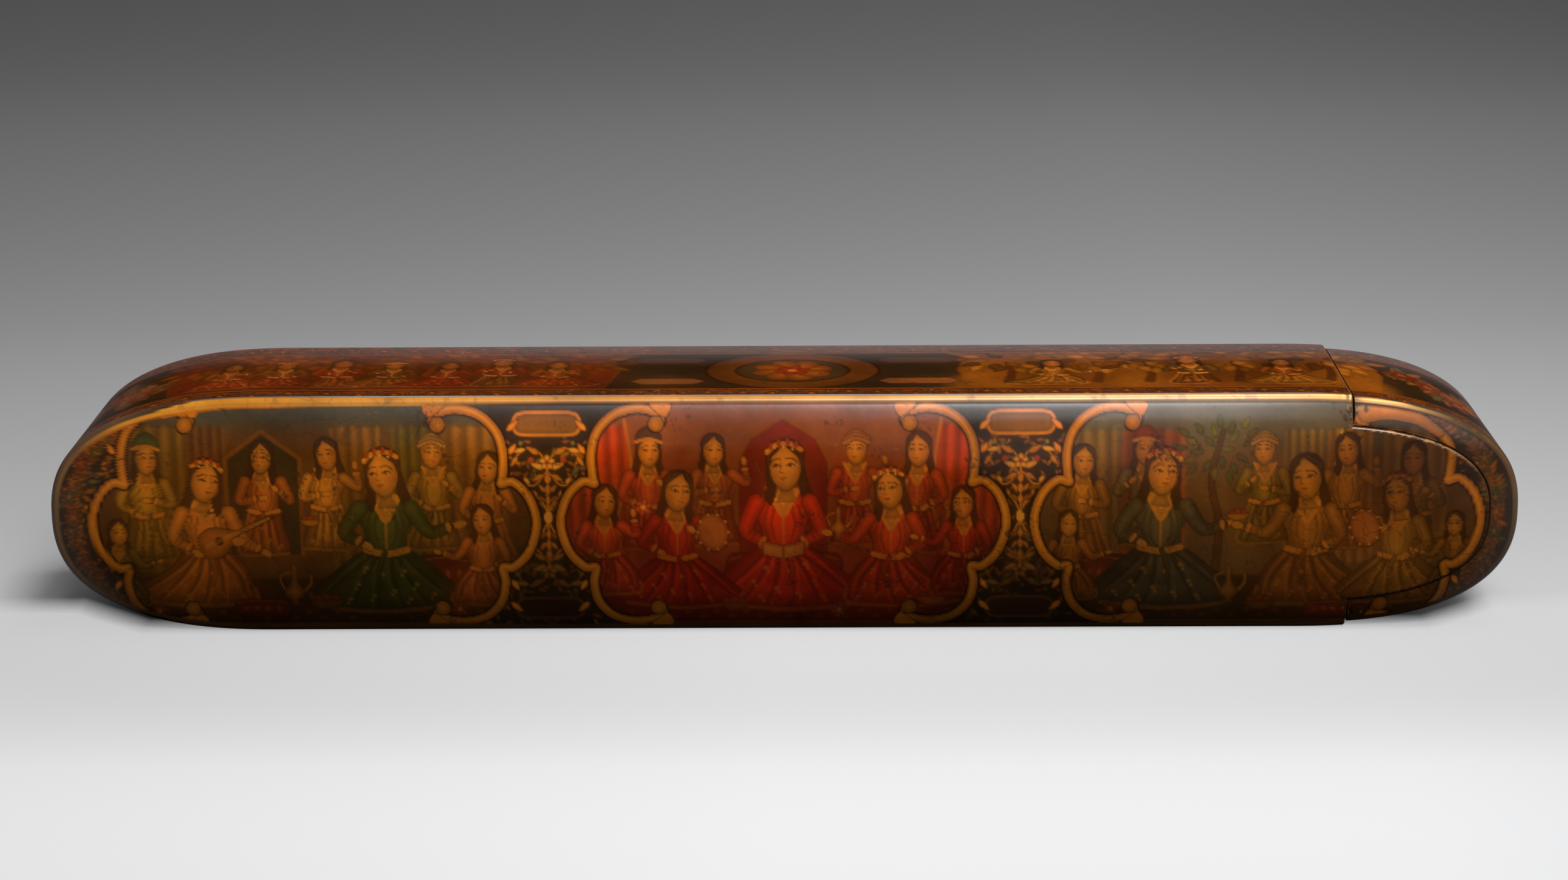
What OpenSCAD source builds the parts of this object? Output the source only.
// Qalamdan: a lacquered papier-mache pen box with a sliding drawer and its writing set.
// The box lies on one long side. +X runs along it to the drawer's head, the painted top
// faces -Y, the base faces +Y and +Z is up. The origin is under the middle of the box.

/* [Case] */
// Overall length of the box
box_l = 238; // [226:1:280]
// Width across the painted top, which is the height of the box as it lies
box_w = 39.2; // [35:0.1:46]
// Thickness of the box from the painted top to the base
box_t = 37; // [34.5:0.5:44]
// Length of each rounded end
end_l = 36; // [28:0.5:40]
// Bluntness of the rounded ends, where 2 is an ellipse
end_power = 2.45; // [2:0.05:3]
// Thickness of the case's papier-mache wall
case_wall = 2.4; // [1.8:0.1:2.6]
// How far the painted top falls away to its edges
crown = 1.4; // [0.4:0.1:1.6]
// How late the painted top starts to fall away, where 2 is an even swell
crown_power = 5; // [2:0.5:6]
// Rounding of the long edges
edge_r = 1.2; // [0.8:0.1:1.6]

/* [Drawer] */
// Length of the drawer's head, from its seam to its tip
head_l = 27.5; // [26.5:0.5:31]
// Thickness of the tray's walls and floor
tray_wall = 2; // [1.5:0.1:2.2]
// Running gap between the tray and the case, all round
slide_gap = 0.3; // [0.2:0.05:0.4]
// Gap along the curved seam between the drawer's head and the case's tongues
seam_gap = 0.3; // [0.2:0.05:0.5]
// Gap at the straight ends of that seam, on the two long sides
seam_side_gap = 0.5; // [0.3:0.1:1.5]
// How far the head's surface lies below the surface of the case
head_step = 0.5; // [0.2:0.1:0.8]
// Thickness of a glue line between two fixed pieces
glue = 0.1; // [0.05:0.05:0.15]
// Thickness of the partition beside the ink pot
partition_t = 2; // [1.4:0.1:3]
// Height of the partition above the tray's floor
partition_h = 15; // [13:0.5:18]
// Radius of the pen rest cut into the partition's edge
rest_r = 4.5; // [3:0.5:6]

/* [Inkwell] */
// Length of the ink pot along the tray
pot_l = 32; // [29:0.5:34]
// Height of the ink pot with its deck
pot_h = 12.5; // [11:0.5:13]
// Thickness of the inkwell's brass sheet
brass_t = 1; // [0.8:0.1:1.2]
// Gap between the ink pot and the tray's walls
pot_fit = 0.3; // [0.2:0.05:0.5]
// Radius of the ink mouth
mouth_r = 4.5; // [4:0.1:4.8]
// Thickness of the collar round the ink mouth
collar_t = 0.8; // [0.6:0.1:1]
// Height of the collar above the deck
collar_h = 0.8; // [0.6:0.1:1]
// Width of the lid across the box
lid_w = 14; // [12.5:0.5:16]
// Radius of the hinge pin
pin_r = 0.55; // [0.5:0.05:0.6]
// Outer radius of the hinge knuckles
knuckle_r = 1.1; // [1:0.05:1.2]
// Length of the lid's middle knuckle
lid_knuckle_l = 5; // [4:0.5:6]
// Length of each of the deck's two knuckles
deck_knuckle_l = 3; // [2:0.5:3.5]
// Radius of the ball on the lid's knob
knob_r = 1.4; // [1:0.1:1.8]
// Depth of the ink-soaked silk in the pot
silk_h = 5; // [4:0.5:5.5]

/* [Writing set] */
// Gap between the pens' nibs and the partition
pen_spare = 3; // [1:0.5:20]
// Diameter of the broad reed pen
broad_d = 7.6; // [6.8:0.1:8.6]
// Diameter of the medium reed pen
medium_d = 6.4; // [5.6:0.1:7.2]
// Diameter of the fine reed pen
fine_d = 4.6; // [4:0.1:5.4]
// Thickness of the reed's wall
reed_wall = 1.2; // [0.8:0.1:1.4]
// Length of the scooped cut that forms a nib
nib_l = 24; // [18:1:30]
// Diameter of the penknife's handle
handle_d = 6.4; // [5.8:0.1:7]
// Length of the penknife's handle
handle_l = 84; // [70:1:96]
// Length of the penknife's blade
blade_l = 42; // [34:1:50]
// Thickness of the penknife's blade
blade_t = 1.2; // [0.8:0.1:1.6]
// Length of the nibbing plate
plate_l = 100; // [80:1:120]
// Width of the nibbing plate
plate_w = 12; // [10:0.5:12.5]
// Thickness of the nibbing plate
plate_t = 2.6; // [2:0.1:3.5]
// Radius of the spoon's bowl
spoon_r = 3.2; // [2.6:0.1:3.4]
// Length of the spoon from the middle of its bowl to its tip
spoon_l = 88; // [70:1:95]

/* [Hidden] */
$fn = 48;

// Colours
lacquer = "#5a2c12";
tray_red = "#8a2f1c";
brass = "#b08d3c";
silk_black = "#17130f";
reed = "#a9742f";
bone = "#d9caa3";
steel = "#8f9397";

// Outline of the box, shared by the case, the drawer and the inkwell
end_steps = 32;
straight_half = box_l / 2 - end_l;
mid_z = box_w / 2;
top_y = -box_t / 2;
base_y = box_t / 2;
seam_x = box_l / 2 - head_l;
far = box_l;

// Rings of the lacquered form: its swollen top, its rounded edges and its flat base
crown_rings = 7;
edge_rings = 5;
crown_core = 0.3;

// Nested insets from the outside of the box
tray_inset = case_wall + slide_gap;
rim_inset = tray_inset + tray_wall;
tongue_inset = rim_inset + seam_gap;

// Faces inside the case, from the top to the base
case_top_y = top_y + crown + case_wall;
case_base_y = base_y - case_wall;
tray_top_y = case_top_y + slide_gap;
tray_base_y = case_base_y - slide_gap;
floor_y = tray_base_y - tray_wall;

// Inkwell
pot_inset = rim_inset + pot_fit;
pot_x = box_l / 2 - pot_inset - pot_l;
deck_y = floor_y - pot_h;
mouth_x = pot_x + pot_l / 2;
mouth_outer_r = mouth_r + collar_t;
lid_gap = 0.2;
pin_clearance = 0.05;
hinge_x = mouth_x - mouth_outer_r - knuckle_r - lid_gap;
hinge_y = deck_y - collar_h - lid_gap - brass_t / 2;
lid_lip = 0.5;
lid_end_x = mouth_x + mouth_outer_r + lid_lip;
knob_x = mouth_x + mouth_r / 2;
knob_stem_r = 0.6;
knob_stem_h = 1.2;
silk_inset = pot_inset + brass_t + pot_fit;

// Writing set: the pens and the knife lie side by side on the tray's floor
rest_gap = 0.1;
low_z = rim_inset + rest_gap;
broad_z = low_z + broad_d / 2;
medium_z = broad_z + broad_d / 2 + rest_gap + medium_d / 2;
knife_z = medium_z + medium_d / 2 + rest_gap + handle_d / 2;
fine_z = knife_z + handle_d / 2 + rest_gap + fine_d / 2;
set_x = -straight_half + 1;
partition_x = pot_x - pot_fit - partition_t;
nib_x = partition_x - pen_spare;

// Reed pens
nib_tip_t = 0.9;
nib_tip_share = 0.45;
nib_shoulder_l = 12;
slit_l = 14;
slit_t = 0.3;
septum_l = 6;

// Penknife
neck_l = 6;
neck_r = handle_d / 2 - 0.8;
ferrule_t = 0.6;
fit_gap = 0.05;
tang_l = 24;
tang_w = 2.4;
butt_r = handle_d / 2 - 0.6;
cap_h = 2.4;
cap_pin_r = 1;
cap_pin_l = 4;
blade_heel_r = neck_r;

// Nibbing plate and spoon, which lie on the tray's lower wall beside the broad pen
plate_y = floor_y - rest_gap - broad_d - rest_gap - plate_w;
plate_x = set_x + 20;
saddle_l = 14;
saddle_h = 4;
saddle_groove_r = 3;
spoon_y = plate_y - rest_gap - spoon_r;
spoon_x = plate_x;
spoon_t = 0.7;
spoon_rod_r = 0.8;

// Point of the right-hand end at angle t, moved inwards by inset along the outline's normal
function end_point(t, inset) =
    let (
        px = pow(abs(cos(t)), 2 / end_power),
        pz = sign(t) * pow(abs(sin(t)), 2 / end_power),
        nx = pow(px, end_power - 1) / end_l,
        nz = sign(t) * pow(abs(pz), end_power - 1) / (box_w / 2),
        n = norm([nx, nz])
    )
    [end_l * px - inset * nx / n, box_w / 2 * pz - inset * nz / n];

// Outline of the box in X and height, inset evenly and drawn in towards its long axis by share
function outline(inset = 0, share = 1) = [
    for (side = [1, -1]) for (i = [0:end_steps])
        let (u = 2 * i / end_steps - 1, t = 90 * sign(u) * pow(abs(u), end_power / 2))
        let (p = end_point(t, inset))
        [side * (straight_half + share * p.x), side * share * p.y]
];

// Each ring of the lacquered form as its inset, its share and its place in Y
function form_rings(shrink) = [
    for (k = [0:crown_rings])
        let (u = k / crown_rings, share = 1 - (1 - crown_core) * pow(1 - u, 1.6))
        [edge_r + shrink, share, top_y + shrink + crown * pow((share - crown_core) / (1 - crown_core), crown_power)],
    for (k = [1:edge_rings])
        let (q = 90 * k / edge_rings)
        [edge_r * (1 - sin(q)) + shrink, 1, top_y + shrink + crown + edge_r * (1 - cos(q))],
    for (k = [0:edge_rings])
        let (q = 90 - 90 * k / edge_rings)
        [edge_r * (1 - sin(q)) + shrink, 1, base_y - shrink - edge_r * (1 - cos(q))]
];

// The box's outer form, shrunk evenly by shrink
module lacquered_form(shrink = 0) {
    rings = form_rings(shrink);
    n = len(outline());
    last = len(rings) - 1;
    points = [for (r = rings) for (p = outline(r[0], r[1])) [p.x, r[2], mid_z + p.y]];
    sides = [
        for (k = [0:last - 1]) for (i = [0:n - 1])
            let (j = (i + 1) % n, a = k * n + i, b = k * n + j, c = a + n, d = b + n)
            each [[a, b, d], [a, d, c]]
    ];
    caps = [[for (i = [n - 1:-1:0]) i], [for (i = [0:n - 1]) last * n + i]];
    polyhedron(points, concat(sides, caps));
}

// Extrudes a shape drawn in X and height from y0 to y1
module slab(y0, y1) {
    translate([0, y1, mid_z]) rotate([90, 0, 0]) linear_extrude(y1 - y0) children();
}

// Everything to the right of x
module right_of(x) {
    translate([x, -far / 2, -far / 2]) cube(far);
}

// A round bar along X from x0 to x1 at the given Y and Z
module bar_x(x0, x1, y, z, r) {
    translate([x0, y, z]) rotate([0, 90, 0]) cylinder(h = x1 - x0, r = r);
}

// A round bar along Z from z0 to z1 at the given X and Y
module bar_z(z0, z1, x, y, r) {
    translate([x, y, z0]) cylinder(h = z1 - z0, r = r);
}

// A round bar along Y from y0 to y1 at the given X and Z
module bar_y(y0, y1, x, z, r) {
    translate([x, y1, z]) rotate([90, 0, 0]) cylinder(h = y1 - y0, r = r);
}

module outer_case() color(lacquer) difference() {
    lacquered_form();
    slab(case_top_y, case_base_y) polygon(outline(case_wall));
    difference() {
        right_of(seam_x);
        slab(-far, far) polygon(outline(tongue_inset));
    }
}

module drawer_tray() color(tray_red) difference() {
    slab(tray_top_y, tray_base_y) polygon(outline(tray_inset));
    slab(tray_top_y - 1, floor_y) polygon(outline(rim_inset));
}

module drawer_head() color(lacquer) difference() {
    intersection() {
        translate([head_step, 0, 0]) lacquered_form(head_step);
        right_of(seam_x + seam_side_gap);
    }
    slab(-far, far) polygon(outline(rim_inset));
    slab(tray_top_y - glue, tray_base_y + glue) polygon(outline(tray_inset - glue));
}

module tray_partition() color(tray_red) {
    half_w = mid_z - rim_inset - glue;
    difference() {
        translate([partition_x, floor_y - partition_h, mid_z - half_w])
            cube([partition_t, partition_h, 2 * half_w]);
        bar_x(partition_x - 1, partition_x + partition_t + 1, floor_y - partition_h, mid_z, rest_r);
    }
}

// The ink pot's outline, which follows the drawer's rounded end, extruded from y0 to y1
module pot_slab(y0, y1, inset = 0) {
    intersection() {
        slab(y0, y1) polygon(outline(pot_inset + inset));
        right_of(pot_x + inset);
    }
}

module inkwell_pot() color(brass) difference() {
    pot_slab(deck_y + brass_t, floor_y);
    pot_slab(deck_y, floor_y - brass_t, brass_t);
}

// One knuckle of the hinge, from z0 to z1, without its bore
module knuckle(z0, z1) {
    bar_z(z0, z1, hinge_x, hinge_y, knuckle_r);
}

module hinge_bore() {
    bar_z(0, box_w, hinge_x, hinge_y, pin_r + pin_clearance);
}

// Where each of the deck's two knuckles starts, measured from the middle of the hinge
deck_knuckle_z = lid_knuckle_l / 2 + lid_gap;

module inkwell_deck() color(brass) difference() {
    union() {
        pot_slab(deck_y, deck_y + brass_t);
        bar_y(deck_y - collar_h, deck_y + brass_t / 2, mouth_x, mid_z, mouth_outer_r);
        for (z = [mid_z - deck_knuckle_z - deck_knuckle_l, mid_z + deck_knuckle_z]) {
            knuckle(z, z + deck_knuckle_l);
            translate([hinge_x - knuckle_r, hinge_y, z])
                cube([2 * knuckle_r, deck_y + brass_t / 2 - hinge_y, deck_knuckle_l]);
        }
    }
    bar_y(deck_y - far, deck_y + far, mouth_x, mid_z, mouth_r);
    hinge_bore();
}

module inkwell_lid() color(brass) difference() {
    plate_x0 = hinge_x + knuckle_r + lid_gap;
    union() {
        knuckle(mid_z - lid_knuckle_l / 2, mid_z + lid_knuckle_l / 2);
        translate([hinge_x, hinge_y - brass_t / 2, mid_z - lid_knuckle_l / 2])
            cube([lid_end_x - hinge_x, brass_t, lid_knuckle_l]);
        translate([plate_x0, hinge_y - brass_t / 2, mid_z - lid_w / 2])
            cube([lid_end_x - plate_x0, brass_t, lid_w]);
    }
    hinge_bore();
    bar_y(hinge_y - brass_t, hinge_y + brass_t, knob_x, mid_z, knob_stem_r + fit_gap);
}

module inkwell_lid_knob() color(brass) {
    face_y = hinge_y - brass_t / 2;
    bar_y(face_y - knob_stem_h, face_y + brass_t, knob_x, mid_z, knob_stem_r);
    bar_y(face_y - knob_stem_h / 2, face_y, knob_x, mid_z, 2 * knob_stem_r);
    translate([knob_x, face_y - knob_stem_h - knob_r / 2, mid_z]) sphere(r = knob_r);
}

module inkwell_hinge_pin() color(steel) {
    reach = deck_knuckle_z + deck_knuckle_l;
    bar_z(mid_z - reach, mid_z + reach, hinge_x, hinge_y, pin_r);
}

module silk_wad() color(silk_black) {
    intersection() {
        slab(floor_y - brass_t - silk_h, floor_y - brass_t) polygon(outline(silk_inset));
        right_of(pot_x + brass_t + pot_fit);
    }
}

// A reed pen of diameter d along X, with its nib to the right and its scoop facing -Y
module reed_pen(d, z) color(reed) {
    y = floor_y - rest_gap - d / 2;
    scoop_drop = d - nib_tip_t;
    scoop_r = (scoop_drop * scoop_drop + nib_l * nib_l) / (2 * scoop_drop);
    difference() {
        bar_x(set_x, nib_x, y, z, d / 2);
        bar_x(set_x - 1, nib_x - nib_l - septum_l, y, z, d / 2 - reed_wall);
        bar_z(z - d, z + d, nib_x, y + d / 2 - nib_tip_t - scoop_r, scoop_r);
        for (side = [1, -1])
            translate([nib_x, y, z]) rotate([90, 0, 0]) linear_extrude(2 * d, center = true)
                polygon([[-nib_shoulder_l, side * d / 2], [-nib_shoulder_l, side * d],
                         [1, side * d], [1, side * nib_tip_share * d / 2],
                         [0, side * nib_tip_share * d / 2]]);
        translate([nib_x - slit_l, y - d, z - slit_t / 2]) cube([slit_l + 1, 2 * d, slit_t]);
    }
}

knife_y = floor_y - rest_gap - handle_d / 2;
knife_x = set_x + cap_h;
neck_x = knife_x + handle_l;

module penknife_handle() color(bone) difference() {
    translate([knife_x, knife_y, knife_z]) rotate([0, 90, 0]) rotate_extrude()
        polygon([[0, 0], [butt_r, 0], [handle_d / 2, handle_l * 0.35], [neck_r + ferrule_t, handle_l - neck_l],
                 [neck_r, handle_l - neck_l], [neck_r, handle_l], [0, handle_l]]);
    translate([neck_x - tang_l - fit_gap, knife_y - blade_t / 2 - fit_gap, knife_z - tang_w / 2 - fit_gap])
        cube([far, blade_t + 2 * fit_gap, tang_w + 2 * fit_gap]);
    bar_x(knife_x - 1, knife_x + cap_pin_l + fit_gap, knife_y, knife_z, cap_pin_r + fit_gap);
}

module penknife_ferrule() color(brass) difference() {
    bar_x(neck_x - neck_l + fit_gap, neck_x, knife_y, knife_z, neck_r + ferrule_t);
    bar_x(neck_x - far, neck_x + far, knife_y, knife_z, neck_r + fit_gap);
}

module penknife_blade() color(steel) {
    translate([neck_x + fit_gap, knife_y + blade_t / 2, knife_z]) rotate([90, 0, 0]) linear_extrude(blade_t) {
        translate([-tang_l, -tang_w / 2]) square([tang_l + 1, tang_w]);
        polygon([[0, -blade_heel_r], [blade_l * 0.6, -blade_heel_r], [blade_l * 0.85, -blade_heel_r * 0.5],
                 [blade_l, blade_heel_r], [0, blade_heel_r]]);
    }
}

module penknife_cap() color(brass) {
    bar_x(knife_x - cap_h / 2, knife_x, knife_y, knife_z, butt_r);
    bar_x(knife_x - cap_h, knife_x, knife_y, knife_z, butt_r / 2);
    bar_x(knife_x - cap_h / 2, knife_x + cap_pin_l, knife_y, knife_z, cap_pin_r);
}

module nibbing_plate() color(bone) difference() {
    union() {
        translate([plate_x, plate_y, rim_inset + rest_gap]) cube([plate_l, plate_w, plate_t]);
        translate([plate_x + plate_l - saddle_l, plate_y, low_z])
            cube([saddle_l, plate_w, plate_t + saddle_h]);
    }
    bar_x(plate_x, plate_x + plate_l + 1, plate_y + plate_w / 2, low_z + plate_t + saddle_h, saddle_groove_r);
}

module ink_spoon() color(brass) {
    centre = [spoon_x, spoon_y, low_z + spoon_r];
    slope = atan((spoon_r - 2 * spoon_rod_r) / spoon_l);
    difference() {
        union() {
            translate(centre) sphere(r = spoon_r);
            translate(centre - [0, 0, spoon_rod_r]) rotate([0, 90 + slope, 0])
                cylinder(h = spoon_l, r = spoon_rod_r);
        }
        translate(centre) sphere(r = spoon_r - spoon_t);
        translate(centre - [far / 2, far / 2, 0]) cube(far);
    }
}

outer_case();
drawer_tray();
drawer_head();
tray_partition();
inkwell_pot();
inkwell_deck();
inkwell_lid();
inkwell_lid_knob();
inkwell_hinge_pin();
silk_wad();
reed_pen(broad_d, broad_z);  // reed_pen_broad
reed_pen(medium_d, medium_z);  // reed_pen_medium
reed_pen(fine_d, fine_z);  // reed_pen_fine
penknife_handle();
penknife_ferrule();
penknife_blade();
penknife_cap();
nibbing_plate();
ink_spoon();
